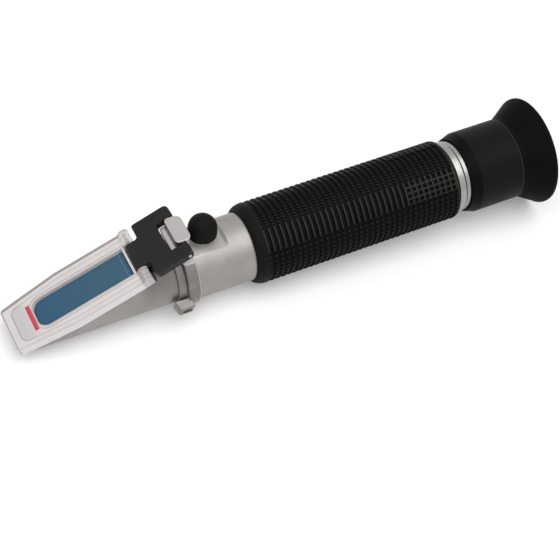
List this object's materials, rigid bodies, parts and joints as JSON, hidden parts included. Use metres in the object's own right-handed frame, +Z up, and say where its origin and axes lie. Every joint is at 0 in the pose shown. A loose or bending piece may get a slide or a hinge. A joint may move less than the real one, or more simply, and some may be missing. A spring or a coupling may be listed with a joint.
{
  "type": "brix refractometer",
  "caption": "Handheld refractometer: a sloping glass prism under a clear hinged cover, a metal barrel with a rubber grip, a calibration screw under a cap, and a focusing eyepiece with a cup.",
  "frame": {"origin": "centre of the object's outline seen from above, at the height of the eyecup's lowest point", "axes": "+X along the optical axis towards the eyecup, +Z up through the calibration cap, the prism end at -X"},
  "size_m": [0.2018, 0.0396, 0.0421],
  "materials": {
    "satin_metal": "satin plated casting",
    "bright_steel": "turned and polished",
    "dark_metal": "blackened, matte",
    "brass": "turned",
    "black_plastic": "moulded, satin",
    "black_rubber": "matte",
    "clear_plastic": "clear moulded acrylic",
    "prism_glass": "polished optical glass",
    "lens_glass": "polished optical glass",
    "red_print": "flat inlaid print",
    "pale_seal": "matte cement"
  },
  "bodies": {
    "barrel": {"prism_housing": "satin_metal", "prism": "prism_glass", "prism_seal": "pale_seal", "main_barrel": "satin_metal", "set_screw_near": "brass", "set_screw_far": "brass", "block_pin": "bright_steel", "return_spring": "bright_steel", "body_tube": "satin_metal", "grip_sleeve": "black_rubber", "end_ring": "satin_metal", "light_stop": "dark_metal", "reticle_cell": "dark_metal", "reticle_glass": "lens_glass", "reticle_keeper": "dark_metal", "eyepiece_seat": "satin_metal"},
    "hinge": {"hinge_block": "black_plastic", "cover_pin": "bright_steel"},
    "cover": {"daylight_plate": "clear_plastic", "marker_strip": "red_print"},
    "cap": {"calibration_cap": "black_rubber"},
    "carriage": {"lens_carriage": "dark_metal", "objective_cell": "dark_metal", "objective_lens": "lens_glass", "bimetal_strip": "brass"},
    "calibration": {"calibration_screw": "brass"},
    "eyepiece": {"eye_tube": "dark_metal", "field_lens": "lens_glass", "lens_spacer": "dark_metal", "eye_lens": "lens_glass", "lens_keeper": "dark_metal"},
    "focus_ring": {"focus_sleeve": "black_plastic", "eyecup": "black_rubber"}
  },
  "joints": [
    {"name": "hinge_swing", "type": "hinge", "parent": "barrel", "child": "hinge", "pos_m": [-0.04067, 0, 0.0392], "axis": [0, 1, 0], "range_deg": [0, 110]},
    {"name": "cover_tilt", "type": "hinge", "parent": "hinge", "child": "cover", "pos_m": [-0.05539, 0, 0.03302], "axis": [0, 1, 0], "range_deg": [0, 20]},
    {"name": "cap_pull", "type": "slide", "parent": "barrel", "child": "cap", "axis": [0, 0, 1], "range_m": [0, 0.015]},
    {"name": "calibration_turn", "type": "hinge", "parent": "carriage", "child": "calibration", "pos_m": [-0.03127, 0, 0.0338], "axis": [0, 0, 1], "range_deg": [-360, 360]},
    {"name": "carriage_shift", "type": "slide", "parent": "barrel", "child": "carriage", "axis": [0, 0, 1], "range_m": [-0.0005, 0.0005]},
    {"name": "focus_turn", "type": "hinge", "parent": "eyepiece", "child": "focus_ring", "pos_m": [0.08542, 0, 0.0198], "axis": [1, 0, 0], "range_deg": [-180, 360]},
    {"name": "focus_travel", "type": "slide", "parent": "barrel", "child": "eyepiece", "axis": [1, 0, 0], "range_m": [-0.0015, 0.003]}
  ],
  "couplings": [
    {"joint": "calibration_turn", "follows": "carriage_shift", "rad_per_m": 12560},
    {"joint": "focus_travel", "follows": "focus_turn", "m_per_rad": 0.000477}
  ]
}
